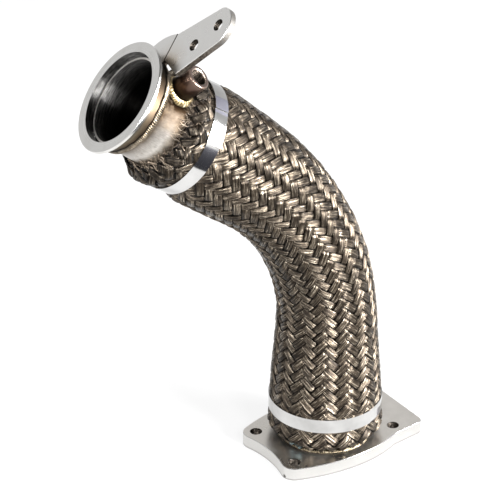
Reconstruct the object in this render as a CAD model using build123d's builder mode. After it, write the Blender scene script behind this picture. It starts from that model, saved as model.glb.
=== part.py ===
"""Turbo downpipe: V-band inlet, bent pipe in a braided sleeve, sensor bung, bracket and four-bolt outlet.

Millimetres, +Z up. The origin is the middle of the outlet plate's underside, on the pipe's axis.
+X runs along the plate's long bolt spacing and +Y along its short one. The pipe leaves the plate upwards
and bends towards -X. Places near the inlet are measured in planes across the pipe, by their setback
behind the inlet's face.
"""
import os
from math import cos, pi, radians, sin, sqrt, tan

from build123d import *

os.makedirs("parts", exist_ok=True)

# Pipe and its route
pipe_od = 76.2
pipe_wall = 1.6
bend_radius = 198.0
bend_angle = 51.5
bend_heading = 169.5
rise_to_corner = 207.5
corner_to_inlet = 235.5

# Clearances between pieces
slip_gap = 0.1
lay_gap = 0.15

# Outlet plate
plate_thickness = 12.0
bolt_spacing_x = 106.0
bolt_spacing_y = 59.0
bolt_hole_d = 10.8
pipe_recess = 2.0
lobe_radius = 11.5
waist_depth = 4.2
belly_half_width = 51.0
square_end_x = 80.5
square_end_half_width = 38.3
ear_root_x = 46.0
ear_root_half_width = 41.8
ear_root_fillet = 15.0
square_end_fillet = 7.0
plate_edge_break = 0.5
outlet_weld_leg = 3.4
outlet_weld_hollow = 1.2

# Inlet flange
inlet_bore_d = 78.6
rim_od = 96.6
lip_thickness = 2.6
hub_od = 82.4
cone_angle = 20.0
flange_length = 15.0
pipe_setback = 7.0
rim_edge_break = 0.4
hub_root_fillet = 1.5
inlet_weld_width = 4.4
inlet_weld_crest = 1.85
inlet_weld_sink = 0.2

# Sensor bung, turned from the top of the bend towards its near side
bung_setback = 30.2
bung_angle = -33.0
bung_od = 20.8
bung_bore_d = 12.5
bung_mouth_d = 14.8
bung_height = 22.5
bung_edge_break = 0.8
bung_weld_leg = 3.6

# Bracket, its outline measured across the pipe from the pipe's axis
bracket_setback = 13.0
bracket_thickness = 5.0
bracket_hole_d = 10.0
seam_inner = (44.2, -4.1)
seam_outer = (66.6, 1.5)
arm_top_corner = (108.0, -32.8)
arm_low_corner = (109.5, -70.1)
arm_root_corner = (42.3, -29.2)
arm_holes = [(69.1, -27.8), (93.5, -40.2)]
arm_top_fillet = 9.0
arm_low_fillet = 17.0
seam_gap = 0.7
base_crown = (57.0, 14.6)
base_end_radius = 49.5
base_end_angle = 27.0
base_inner_angle = 5.0
bracket_edge_break = 0.4
tack_radius = 2.2
tack_start = (38.5, -19.0)
tack_end = (43.6, -24.0)

# Braided sleeve, its radius measured over the crests of the tows
sleeve_foot_gap = 4.2
sleeve_head_setback = 44.5
sleeve_mid_radius = 42.7
foot_swell = 8.0
foot_swell_reach = 150.0
head_swell = 8.0
head_swell_flat = 20.0
head_swell_reach = 165.0
end_turn_in = 6.0
end_turn_length = 9.0
tow_pairs = 28
braid_pitch = 10.4
border_depth = 0.8
valley_depth = 1.9

# Bands round the sleeve
band_width = 12.7
band_thickness = 0.8
lower_band_height = 45.0
lower_band_end = -75.0
upper_band_setback = 69.5
upper_band_end = -40.0
upper_band_tilt = 5.0
upper_band_r = 47.6
lower_band_r = 49.0
band_bite_blend = 14.0
tail_ramp = 120.0

# Frames that the route gives
turn = radians(bend_angle)
heading = radians(bend_heading)
tangent_length = bend_radius * tan(turn / 2)
lower_straight = plate_thickness + rise_to_corner - tangent_length
bend_length = bend_radius * turn
upper_straight = corner_to_inlet - tangent_length
route_length = lower_straight + bend_length + upper_straight
pipe_r = pipe_od / 2
pipe_bore_r = pipe_r - pipe_wall
over_pipe_r = pipe_r + lay_gap

outward = Vector(cos(heading), sin(heading), 0)
across = Vector(sin(heading), -cos(heading), 0)
flow = outward * sin(turn) + Vector(0, 0, cos(turn))
crown = outward * -cos(turn) + Vector(0, 0, sin(turn))
corner = Vector(0, 0, plate_thickness + rise_to_corner)
inlet_centre = corner + flow * corner_to_inlet
inlet_axis = Axis(inlet_centre, flow)
bend_plane = Plane(origin=(0, 0, 0), x_dir=outward, z_dir=outward.cross(Vector(0, 0, 1)))
inlet_section = Plane(origin=inlet_centre, x_dir=crown, z_dir=crown.cross(flow))


def inlet_plane(setback):
    """The plane across the pipe at a setback behind the inlet's face, facing out of the inlet."""
    return Plane(origin=inlet_centre - flow * setback, x_dir=crown, z_dir=flow)


def bend_point(distance, height):
    """A point of the bend's own plane, as outward distance and height."""
    return outward * distance + Vector(0, 0, height)


def route_frame(station):
    """Centre and crown direction at a station along the pipe's axis from the plate's underside."""
    on_bend = min(max(station - lower_straight, 0), bend_length)
    on_upper = max(station - lower_straight - bend_length, 0)
    angle = on_bend / bend_radius
    distance = bend_radius * (1 - cos(angle)) + on_upper * sin(angle)
    height = min(station, lower_straight) + bend_radius * sin(angle) + on_upper * cos(angle)
    return bend_point(distance, height), outward * -cos(angle) + Vector(0, 0, sin(angle))


def route_wire(start_height, end_setback):
    """The pipe's axis, straight, bent and straight, between two ends."""
    reach = corner_to_inlet - end_setback
    top = (reach * sin(turn), corner.Z + reach * cos(turn))
    with BuildLine(bend_plane) as route:
        FilletPolyline((0, start_height), (0, corner.Z), top, radius=bend_radius)
    return route.wires()[0]


# Outlet plate
bolt_x = bolt_spacing_x / 2
bolt_y = bolt_spacing_y / 2
waist_x = -(bolt_x + lobe_radius - waist_depth)
waist_offset = waist_x + bolt_x
waist_radius = (waist_offset**2 + bolt_y**2 - lobe_radius**2) / (2 * (lobe_radius + waist_offset))
waist_centre_x = waist_x - waist_radius
waist_share = lobe_radius / (lobe_radius + waist_radius)
waist_end = (-bolt_x + (waist_centre_x + bolt_x) * waist_share, bolt_y * (1 - waist_share))
belly_rise = belly_half_width - bolt_y
belly_radius = (bolt_x**2 + belly_rise**2 - lobe_radius**2) / (2 * (belly_rise - lobe_radius))
belly_share = lobe_radius / (belly_radius - lobe_radius)
belly_start = (
    -bolt_x - bolt_x * belly_share,
    bolt_y + (bolt_y - belly_half_width + belly_radius) * belly_share,
)
lobe_out = lobe_radius / sqrt(2)

with BuildPart() as outlet_flange:
    with BuildSketch():
        with BuildLine():
            ThreePointArc((waist_end[0], -waist_end[1]), (waist_x, 0), waist_end)
            ThreePointArc(waist_end, (-bolt_x - lobe_out, bolt_y + lobe_out), belly_start)
            TangentArc((0, belly_half_width), belly_start, tangent=(-1, 0))
            TangentArc((0, belly_half_width), (ear_root_x, ear_root_half_width), tangent=(1, 0))
            Polyline(
                (ear_root_x, ear_root_half_width),
                (square_end_x, square_end_half_width),
                (square_end_x, -square_end_half_width),
                (ear_root_x, -ear_root_half_width),
            )
            TangentArc((0, -belly_half_width), (ear_root_x, -ear_root_half_width), tangent=(1, 0))
            TangentArc((0, -belly_half_width), (belly_start[0], -belly_start[1]), tangent=(-1, 0))
            ThreePointArc(
                (belly_start[0], -belly_start[1]),
                (-bolt_x - lobe_out, -bolt_y - lobe_out),
                (waist_end[0], -waist_end[1]),
            )
        make_face()
        corners = vertices().filter_by(lambda point: point.X > square_end_x - 1)
        fillet(corners, square_end_fillet)
        roots = vertices().filter_by(lambda point: abs(point.X - ear_root_x) < 1)
        fillet(roots, ear_root_fillet)
    extrude(amount=plate_thickness)
    outline = faces().sort_by(Axis.Z)[-1].outer_wire().edges()
    chamfer(outline + faces().sort_by(Axis.Z)[0].outer_wire().edges(), plate_edge_break)
    Hole(pipe_r + slip_gap)
    with GridLocations(bolt_spacing_x, bolt_spacing_y, 2, 2):
        Hole(bolt_hole_d / 2)
outlet_flange.part.label = "outlet_flange"
export_step(outlet_flange.part, "parts/outlet_flange.step")

# Pipe
bung_heading = crown * cos(radians(bung_angle)) + flow.cross(crown) * sin(radians(bung_angle))
bung_plane = Plane(origin=inlet_centre - flow * bung_setback, x_dir=flow, z_dir=bung_heading)

with BuildPart() as pipe:
    with BuildSketch(Plane.XY.offset(pipe_recess)):
        Circle(pipe_r)
        Circle(pipe_bore_r, mode=Mode.SUBTRACT)
    sweep(path=route_wire(pipe_recess, pipe_setback))
    with BuildSketch(bung_plane):
        Circle(bung_bore_d / 2)
    extrude(amount=pipe_od, mode=Mode.SUBTRACT)
pipe.part.label = "pipe"
export_step(pipe.part, "parts/pipe.step")

# Outlet weld
with BuildPart() as outlet_weld:
    with BuildSketch(bend_plane):
        with BuildLine():
            inner = (over_pipe_r, plate_thickness)
            toe = (over_pipe_r + outlet_weld_leg, plate_thickness)
            top = (over_pipe_r, plate_thickness + outlet_weld_leg)
            swell_point = (
                over_pipe_r + outlet_weld_leg - outlet_weld_hollow,
                plate_thickness + outlet_weld_leg - outlet_weld_hollow,
            )
            Polyline(top, inner, toe)
            ThreePointArc(toe, swell_point, top)
        make_face()
    revolve(axis=Axis.Z)
outlet_weld.part.label = "outlet_weld"
export_step(outlet_weld.part, "parts/outlet_weld.step")

# Inlet flange
bore_r = inlet_bore_d / 2
rim_r = rim_od / 2
hub_r = hub_od / 2
socket_r = pipe_r + slip_gap
cone_depth = (rim_r - hub_r) * tan(radians(cone_angle))

with BuildPart() as inlet_flange:
    with BuildSketch(inlet_section):
        with BuildLine():
            Polyline(
                (bore_r, 0),
                (rim_r, 0),
                (rim_r, -lip_thickness),
                (hub_r, -lip_thickness - cone_depth),
                (hub_r, -flange_length),
                (socket_r, -flange_length),
                (socket_r, -pipe_setback),
                (bore_r, -pipe_setback),
                close=True,
            )
        make_face()
        rim_corners = vertices().filter_by(lambda point: point.X > rim_r - rim_edge_break)
        root = vertices().sort_by_distance(Vector(hub_r, -lip_thickness - cone_depth))[0]
        chamfer(rim_corners, rim_edge_break)
        fillet(root, hub_root_fillet)
    revolve(axis=inlet_axis)
inlet_flange.part.label = "inlet_flange"
export_step(inlet_flange.part, "parts/inlet_flange.step")

# Inlet weld
weld_back = -flange_length - inlet_weld_width
weld_crest = (hub_r - inlet_weld_sink, -flange_length - inlet_weld_crest)

with BuildPart() as inlet_weld:
    with BuildSketch(inlet_section):
        with BuildLine():
            Polyline(
                (over_pipe_r, weld_back),
                (over_pipe_r, -flange_length - lay_gap),
                (hub_r - 1, -flange_length - lay_gap),
            )
            ThreePointArc((hub_r - 1, -flange_length - lay_gap), weld_crest, (over_pipe_r, weld_back))
        make_face()
    revolve(axis=inlet_axis)
inlet_weld.part.label = "inlet_weld"
export_step(inlet_weld.part, "parts/inlet_weld.step")

# Sensor bung
bung_r = bung_od / 2
bung_top = pipe_r + bung_height

with BuildPart() as sensor_bung:
    with BuildSketch(bung_plane):
        Circle(bung_r)
    extrude(amount=bung_top)
    top_rim = edges().filter_by(GeomType.CIRCLE).sort_by(Axis(bung_plane.origin, bung_heading))[-1]
    chamfer(top_rim, bung_edge_break)
    with BuildSketch(bung_plane):
        Circle(bung_bore_d / 2)
    extrude(amount=bung_top, mode=Mode.SUBTRACT)
    mouth_depth = (bung_mouth_d - bung_bore_d) / 2
    mouth = edges().filter_by(GeomType.CIRCLE).filter_by(lambda e: abs(e.radius - bung_bore_d / 2) < 0.01)
    chamfer(mouth.sort_by(Axis(bung_plane.origin, bung_heading))[-1], mouth_depth)
    with BuildSketch(inlet_plane(bung_setback)):
        Circle(over_pipe_r)
    extrude(amount=bung_od, both=True, mode=Mode.SUBTRACT)
sensor_bung.part.label = "sensor_bung"
export_step(sensor_bung.part, "parts/sensor_bung.step")

# Bung weld, a cone that the pipe and the bung are cut out of
weld_skirt = pipe_r - sqrt(pipe_r**2 - (bung_r + bung_weld_leg) ** 2)

with BuildPart() as bung_weld:
    with BuildSketch(bung_plane.offset(pipe_r - weld_skirt)):
        Circle(bung_r + bung_weld_leg)
    with BuildSketch(bung_plane.offset(pipe_r + bung_weld_leg)):
        Circle(bung_r + lay_gap * 2)
    loft()
    with BuildSketch(bung_plane):
        Circle(bung_r + lay_gap)
    extrude(amount=bung_top, mode=Mode.SUBTRACT)
    with BuildSketch(inlet_plane(bung_setback)):
        Circle(over_pipe_r)
    extrude(amount=bung_od, both=True, mode=Mode.SUBTRACT)
    add(inlet_weld.part, mode=Mode.SUBTRACT)
bung_weld.part.label = "bung_weld"
export_step(bung_weld.part, "parts/bung_weld.step")

# Bracket arm
bracket_plane = inlet_plane(bracket_setback + bracket_thickness)

with BuildPart() as bracket_arm:
    with BuildSketch(bracket_plane):
        with BuildLine():
            Polyline(
                seam_inner, seam_outer, arm_top_corner, arm_low_corner, arm_root_corner, close=True
            )
        make_face()
        fillet(vertices().sort_by_distance(Vector(*arm_top_corner))[0], arm_top_fillet)
        fillet(vertices().sort_by_distance(Vector(*arm_low_corner))[0], arm_low_fillet)
    extrude(amount=bracket_thickness)
    chamfer(faces().sort_by(inlet_axis)[-1].outer_wire().edges(), bracket_edge_break)
    with Locations(bracket_plane):
        with Locations(*arm_holes):
            Hole(bracket_hole_d / 2)
bracket_arm.part.label = "bracket_arm"
export_step(bracket_arm.part, "parts/bracket_arm.step")

# Bracket base, between the seam and the flange's hub
seam_along = (Vector(*seam_outer) - Vector(*seam_inner)).normalized()
seam_step = Vector(-seam_along.Y, seam_along.X) * seam_gap
base_seam_inner = Vector(*seam_inner) + seam_step
base_seam_outer = Vector(*seam_outer) + seam_step
base_hub_r = hub_r + lay_gap


def polar(radius, angle):
    """A point across the pipe at a radius and an angle from the crown."""
    return Vector(radius * cos(radians(angle)), radius * sin(radians(angle)))


with BuildPart() as bracket_base:
    with BuildSketch(bracket_plane):
        with BuildLine():
            base_outer_end = polar(base_end_radius, base_end_angle)
            base_inner_end = polar(base_hub_r, base_end_angle)
            base_inner_start = polar(base_hub_r, -base_inner_angle)
            Polyline(base_inner_start, base_seam_inner, base_seam_outer)
            ThreePointArc(base_seam_outer, Vector(*base_crown), base_outer_end)
            Line(base_outer_end, base_inner_end)
            ThreePointArc(base_inner_end, polar(base_hub_r, 0), base_inner_start)
        make_face()
    extrude(amount=bracket_thickness)
    chamfer(faces().sort_by(inlet_axis)[-1].outer_wire().edges(), bracket_edge_break / 2)
bracket_base.part.label = "bracket_base"
export_step(bracket_base.part, "parts/bracket_base.step")

# Bracket weld, one tack between the hub and the arm's root
tack_frame = inlet_plane(bracket_setback + bracket_thickness / 2)
tack_run = Vector(*tack_end) - Vector(*tack_start)
tack_base = tack_frame.from_local_coords(Vector(*tack_start))
tack_direction = tack_frame.from_local_coords(Vector(*tack_end)) - tack_base
tack_plane = Plane(origin=tack_base, x_dir=flow, z_dir=tack_direction)

with BuildPart() as bracket_weld:
    with BuildSketch(tack_plane):
        Circle(tack_radius)
    extrude(amount=tack_run.length)
    with BuildSketch(inlet_plane(bracket_setback)):
        Circle(base_hub_r)
    extrude(amount=-2 * bracket_thickness, mode=Mode.SUBTRACT)
    add(bracket_arm.part, mode=Mode.SUBTRACT)
bracket_weld.part.label = "bracket_weld"
export_step(bracket_weld.part, "parts/bracket_weld.step")

# Bands
tilt = radians(upper_band_tilt)
upper_band_plane = Plane(
    origin=inlet_centre - flow * upper_band_setback,
    x_dir=crown * cos(tilt) + flow * sin(tilt),
    z_dir=flow * cos(tilt) - crown * sin(tilt),
)
lower_band_plane = Plane.XY.offset(lower_band_height)


def band_section(inner_r, end_angle, ramp_sign):
    """A strap wound once round, its last stretch rising over its start and ending in a step."""
    outer_r = inner_r + band_thickness
    step_r = outer_r + band_thickness
    ramp_start = polar(outer_r, end_angle + ramp_sign * tail_ramp)
    ramp_middle = polar((step_r + outer_r) / 2, end_angle + ramp_sign * tail_ramp / 2)
    far_side = polar(outer_r, end_angle - ramp_sign * (360 - tail_ramp) / 2)
    with BuildSketch() as section:
        with BuildLine():
            Line(polar(outer_r, end_angle), polar(step_r, end_angle))
            ThreePointArc(polar(step_r, end_angle), ramp_middle, ramp_start)
            ThreePointArc(ramp_start, far_side, polar(outer_r, end_angle))
        make_face()
        Circle(inner_r, mode=Mode.SUBTRACT)
    return section.sketch


lower_section = band_section(lower_band_r, lower_band_end, -1)
upper_section = band_section(upper_band_r, upper_band_end, 1)

with BuildPart() as lower_band:
    with BuildSketch(lower_band_plane):
        add(lower_section)
    extrude(amount=band_width / 2, both=True)
lower_band.part.label = "lower_band"
export_step(lower_band.part, "parts/lower_band.step")

with BuildPart() as upper_band:
    with BuildSketch(upper_band_plane):
        add(upper_section)
    extrude(amount=band_width / 2, both=True)
upper_band.part.label = "upper_band"
export_step(upper_band.part, "parts/upper_band.step")

# Braided sleeve
sleeve_start = plate_thickness + sleeve_foot_gap
sleeve_end = route_length - sleeve_head_setback
braid_rows = 2 * round((sleeve_end - sleeve_start) / braid_pitch)
row_step = (sleeve_end - sleeve_start) / braid_rows
braid_lines = 2 * tow_pairs


def fade(distance, reach):
    """One at no distance, falling smoothly to zero at the reach."""
    return 0.5 * (1 + cos(pi * min(max(distance / reach, 0), 1)))


def crest_radius(station):
    """The sleeve's radius over its tows, swollen at both ends and turned in at its rims."""
    foot = foot_swell * fade(station - plate_thickness, foot_swell_reach)
    head = head_swell * fade(sleeve_end - station - head_swell_flat, head_swell_reach)
    turn_in = fade(station - sleeve_start, end_turn_length) + fade(sleeve_end - station, end_turn_length)
    return sleeve_mid_radius + foot + head - end_turn_in * turn_in


def band_grip(point, plane):
    """One under a band and a row beyond its edges, falling to zero further along the sleeve."""
    away = abs(plane.to_local_coords(point).Z) - band_width / 2 - row_step
    return fade(away, band_bite_blend)


def seat_radius(centre, spoke, plane, radius):
    """How far out along a spoke it meets a cylinder about a plane's axis."""
    foot = plane.to_local_coords(centre)
    run = plane.to_local_coords(centre + spoke) - foot
    square = run.X**2 + run.Y**2
    half = foot.X * run.X + foot.Y * run.Y
    return (-half + sqrt(half**2 - square * (foot.X**2 + foot.Y**2 - radius**2))) / square


def braid_depth(line, row):
    """How far a point lies below the crests: low at the columns' borders and between the tows."""
    if line % 2 == 0:
        return border_depth
    column = line // 2
    return 0 if (row + column) % 2 == 0 else valley_depth


def braid_point(line, row):
    """A point of the woven surface, its crests and valleys pressed flat at the rims and under the bands."""
    station = sleeve_start + row * row_step
    centre, towards_crown = route_frame(station)
    angle = 2 * pi * line / braid_lines
    spoke = towards_crown * cos(angle) + across * sin(angle)
    radius = crest_radius(station)
    loose = 0 if row in (0, braid_rows) else 1
    for plane, band_r in ((lower_band_plane, lower_band_r), (upper_band_plane, upper_band_r)):
        grip = band_grip(centre + spoke * radius, plane)
        if grip > 0:
            radius += (seat_radius(centre, spoke, plane, band_r - lay_gap) - radius) * grip
            loose *= 1 - grip
    return centre + spoke * (radius - loose * braid_depth(line, row))


rings = [[braid_point(line, row) for line in range(braid_lines)] for row in range(braid_rows + 1)]
facets = [Face(Wire.make_polygon(rings[0])), Face(Wire.make_polygon(rings[-1]))]
for row in range(braid_rows):
    for line in range(braid_lines):
        near, far = line, (line + 1) % braid_lines
        low_near, low_far = rings[row][near], rings[row][far]
        high_near, high_far = rings[row + 1][near], rings[row + 1][far]
        if (line // 2) % 2 == 0:
            corners = [(low_near, low_far, high_far), (low_near, high_far, high_near)]
        else:
            corners = [(low_near, low_far, high_near), (low_far, high_far, high_near)]
        facets += [Face(Wire.make_polygon(triangle)) for triangle in corners]
weave = Solid(Shell(facets))

with BuildPart() as braided_sleeve:
    add(weave)
    with BuildSketch(Plane.XY):
        Circle(over_pipe_r)
    sweep(path=route_wire(0, 0), mode=Mode.SUBTRACT)
braided_sleeve.part.label = "braided_sleeve"
export_step(braided_sleeve.part, "parts/braided_sleeve.step")
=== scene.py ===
"""Turbo downpipe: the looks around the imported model, in metres and in the model's own frame."""
from math import cos, pi, radians, sin, sqrt, tan

import bpy
import numpy as np
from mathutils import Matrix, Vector


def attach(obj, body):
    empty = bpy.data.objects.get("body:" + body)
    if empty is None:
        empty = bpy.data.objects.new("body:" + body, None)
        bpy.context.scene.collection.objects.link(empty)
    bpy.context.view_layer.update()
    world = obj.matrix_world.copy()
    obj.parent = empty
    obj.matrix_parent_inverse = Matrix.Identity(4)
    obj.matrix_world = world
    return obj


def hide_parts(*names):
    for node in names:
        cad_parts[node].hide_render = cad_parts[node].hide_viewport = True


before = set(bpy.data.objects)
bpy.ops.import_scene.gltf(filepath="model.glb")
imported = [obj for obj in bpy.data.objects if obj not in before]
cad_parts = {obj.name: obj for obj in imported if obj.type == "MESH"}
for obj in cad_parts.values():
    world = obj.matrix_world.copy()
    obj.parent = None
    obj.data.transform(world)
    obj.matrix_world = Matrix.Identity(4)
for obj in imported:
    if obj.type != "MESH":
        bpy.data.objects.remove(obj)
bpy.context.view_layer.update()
rng = np.random.default_rng(7)

# Sizes repeated from the part's source, in metres
MM = 0.001
PIPE_R = 38.1 * MM
BEND_R = 198.0 * MM
TURN = radians(51.5)
HEADING = radians(169.5)
TANGENT = BEND_R * tan(TURN / 2)
PLATE_TOP = 12.0 * MM
CORNER_HEIGHT = 219.5 * MM
CORNER_TO_INLET = 235.5 * MM
LOWER = CORNER_HEIGHT - TANGENT
BEND = BEND_R * TURN
UPPER = CORNER_TO_INLET - TANGENT
ROUTE = LOWER + BEND + UPPER
OUTWARD = np.array([cos(HEADING), sin(HEADING), 0.0])
ACROSS = np.array([sin(HEADING), -cos(HEADING), 0.0])
UP = np.array([0.0, 0.0, 1.0])
EAST = np.array([1.0, 0.0, 0.0])
FLOW = OUTWARD * sin(TURN) + UP * cos(TURN)
CROWN = -OUTWARD * cos(TURN) + UP * sin(TURN)
INLET = UP * CORNER_HEIGHT + FLOW * CORNER_TO_INLET
OVER_PIPE = PIPE_R + 0.15 * MM

SLEEVE_START = 16.2 * MM
SLEEVE_END = ROUTE - 44.5 * MM
BRAID_ROWS = 74
ROW_STEP = (SLEEVE_END - SLEEVE_START) / BRAID_ROWS
TOWS = 28
CREST_R = 42.7 * MM
SWELL = 8 * MM
FOOT_SWELL_REACH = 150 * MM
HEAD_SWELL_REACH = 165 * MM
HEAD_SWELL_START = 20 * MM
RIM_TURN_IN = 6 * MM
RIM_REACH = 9 * MM
GRIP_MARGIN = 1.2 * MM
GRIP_REACH = 11 * MM

BAND_W = 12.7 * MM
BAND_SEAT = 0.15 * MM
UPPER_BAND_R = 47.6 * MM
LOWER_BAND_R = 49.0 * MM
TILT = radians(5.0)
UPPER_BAND_O = INLET - FLOW * 69.5 * MM
UPPER_BAND_N = FLOW * cos(TILT) - CROWN * sin(TILT)
LOWER_BAND_O = UP * 45.0 * MM

BUNG_ANGLE = radians(-33.0)
BUNG_DIR = CROWN * cos(BUNG_ANGLE) + ACROSS * sin(BUNG_ANGLE)
BUNG_O = INLET - FLOW * 30.2 * MM
BUNG_R = 10.4 * MM
BUNG_TOP = PIPE_R + 22.5 * MM
BUNG_BORE_R = 6.25 * MM
BUNG_MOUTH_R = 7.4 * MM
FLANGE_BORE_R = 39.3 * MM
BOLT_HOLE_R = 5.4 * MM
BOLT_PLACES = [(x * MM, y * MM) for x in (-53, 53) for y in (-29.5, 29.5)]
ARM_HOLE_R = 5.0 * MM
ARM_HOLES = [(69.1 * MM, -27.8 * MM), (93.5 * MM, -40.2 * MM)]
ARM_SETBACK = 13.0 * MM
ARM_THICK = 5.0 * MM
SEAM_INNER = (44.2 * MM, -4.1 * MM)
SEAM_OUTER = (66.6 * MM, 1.5 * MM)
SEAM_GAP = 0.7 * MM

# Places that only the looks need
MID_WALL_R = 37.3 * MM
PIPE_END = 7.3 * MM  # behind the inlet's face, 0.3 mm past the pipe's end face
INLET_BORE_REACH = 160 * MM
FOOT_BORE_REACH = 130 * MM
NICK = (-64.4 * MM, -31.0 * MM, 2.6 * MM)
FOOT_SCORCH = (-38 * MM, -14 * MM, 17 * MM)
ARM_HEAT = INLET - FLOW * 15 * MM + CROWN * 43 * MM - ACROSS * 12 * MM


# Meshes

def mesh_piece(name, points, faces, material, slot, uv=None, replaces=(), **numbers):
    """A mesh object that rides on the part, with per-point numbers and an optional UV pair for each point."""
    mesh = bpy.data.meshes.new(name)
    points = np.asarray(points, float).reshape(-1, 3)
    mesh.from_pydata([tuple(p) for p in points], [], [tuple(int(i) for i in f) for f in faces])
    mesh.validate()
    mesh.polygons.foreach_set("use_smooth", [True] * len(mesh.polygons))
    for key, values in numbers.items():
        layer = mesh.attributes.new(key, "FLOAT", "POINT")
        layer.data.foreach_set("value", np.asarray(values, np.float32).ravel())
    if uv is not None:
        loops = np.zeros(len(mesh.loops), np.int32)
        mesh.loops.foreach_get("vertex_index", loops)
        layer = mesh.uv_layers.new(name="run")
        layer.data.foreach_set("uv", np.asarray(uv, np.float32).reshape(-1, 2)[loops].ravel())
    mesh.update()
    piece = bpy.data.objects.new(name, mesh)
    bpy.context.scene.collection.objects.link(piece)
    mesh.materials.append(material)
    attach(piece, "root")
    if replaces:
        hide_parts(*replaces)


def grid_faces(rows, columns, wrap_rows=False, wrap_columns=False, start=0):
    """Quads of a grid of points that lie row by row."""
    r = np.arange(rows if wrap_rows else rows - 1)
    c = np.arange(columns if wrap_columns else columns - 1)
    r, c = [a.ravel() for a in np.meshgrid(r, c, indexing="ij")]
    r2, c2 = (r + 1) % rows, (c + 1) % columns
    return np.stack([r * columns + c, r * columns + c2, r2 * columns + c2, r2 * columns + c], 1) + start


def tube_faces(count, rows, columns):
    """Faces of equal tubes of points, one after another, with both ends of each closed."""
    starts = [i * rows * columns for i in range(count)]
    quads = np.concatenate([grid_faces(rows, columns, wrap_columns=True, start=start) for start in starts])
    faces = [tuple(quad) for quad in quads]
    for start in starts:
        last = start + (rows - 1) * columns
        faces.append(tuple(reversed(range(start, start + columns))))
        faces.append(tuple(range(last, last + columns)))
    return faces


def full_turn(count):
    """Angles all the way round, as one row."""
    return np.linspace(0, 2 * pi, count, endpoint=False)[None, :]


def around(first, second, turn):
    """Directions at angles from the first direction towards the second."""
    return first * np.cos(turn)[..., None] + second * np.sin(turn)[..., None]


# The sleeve's surface

def fade(distance, reach):
    """One at no distance, falling smoothly to zero at the reach."""
    return 0.5 * (1 + np.cos(pi * np.clip(distance / reach, 0, 1)))


def route(station):
    """Centre of the pipe and the direction of its bend's outside, at stations along it."""
    station = np.asarray(station, float)
    angle = np.clip(station - LOWER, 0, BEND) / BEND_R
    upper = np.maximum(station - LOWER - BEND, 0)
    distance = BEND_R * (1 - np.cos(angle)) + upper * np.sin(angle)
    height = np.minimum(station, LOWER) + BEND_R * np.sin(angle) + upper * np.cos(angle)
    centre = distance[..., None] * OUTWARD + height[..., None] * UP
    crown = -np.cos(angle)[..., None] * OUTWARD + np.sin(angle)[..., None] * UP
    return centre, crown


def crest_radius(station):
    """Radius over the braid's crests, before the bands press it in."""
    foot = SWELL * fade(station - PLATE_TOP, FOOT_SWELL_REACH)
    head = SWELL * fade(SLEEVE_END - station - HEAD_SWELL_START, HEAD_SWELL_REACH)
    turn_in = fade(station - SLEEVE_START, RIM_REACH) + fade(SLEEVE_END - station, RIM_REACH)
    return CREST_R + foot + head - RIM_TURN_IN * turn_in


def sleeve_surface(station, angle):
    """Centre, spoke, radius over the crests and looseness of the weave at a place of the sleeve."""
    centre, crown = route(station)
    spoke = around(crown, ACROSS, angle)
    radius = crest_radius(station)
    loose = np.ones_like(radius)
    for origin, normal, seat in (
        (LOWER_BAND_O, UP, LOWER_BAND_R - BAND_SEAT),
        (UPPER_BAND_O, UPPER_BAND_N, UPPER_BAND_R - BAND_SEAT),
    ):
        point = centre + spoke * radius[..., None]
        away = np.abs((point - origin) @ normal) - BAND_W / 2 - GRIP_MARGIN
        grip = fade(away, GRIP_REACH)
        from_axis = centre - origin
        from_axis = from_axis - (from_axis @ normal)[..., None] * normal
        run = spoke - (spoke @ normal)[..., None] * normal
        square = (run**2).sum(-1)
        half = (from_axis * run).sum(-1)
        inside_root = half**2 - square * ((from_axis**2).sum(-1) - seat**2)
        reach = (-half + np.sqrt(np.maximum(inside_root, 0))) / square
        radius = radius + (reach - radius) * grip
        loose = loose * (1 - 0.85 * grip)
    return centre, spoke, radius, loose


def waves(values, seeds, scale):
    """A smooth random curve from a few sines, one set of phases for each tow."""
    total = np.zeros(np.broadcast(values, seeds).shape)
    for k, f in enumerate((0.31, 0.73, 1.37)):
        total = total + np.sin(values * f * scale + seeds * (k + 1) * 12.9898) / (k + 1)
    return total / 1.8


# Sizes of the braid's tows
TOW_COVER = 0.95  # the share that a tow fills of the room for it
TOW_RISE = 1.25 * MM  # from the middle of the weave up to a tow that passes over
TOW_THICK = 1.8 * MM
TOW_LEAN = 0.32 * MM
SWITCH_SHARP = 0.36  # the smaller, the quicker a tow goes from over to under
PER_PITCH = 12
PER_GIRTH = 12
PHASE = 0.25  # where the count of pitches starts at the sleeve's foot
TOW_PITCH_RUN = sqrt(9.6**2 + 10.4**2) * MM  # a tow's own length over one pitch
TOW_WIDTH = 7.1 * MM


def rounded(value, power):
    """A sine or cosine made fuller or sharper, with its sign kept."""
    return np.sign(value) * np.abs(value) ** power


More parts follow.
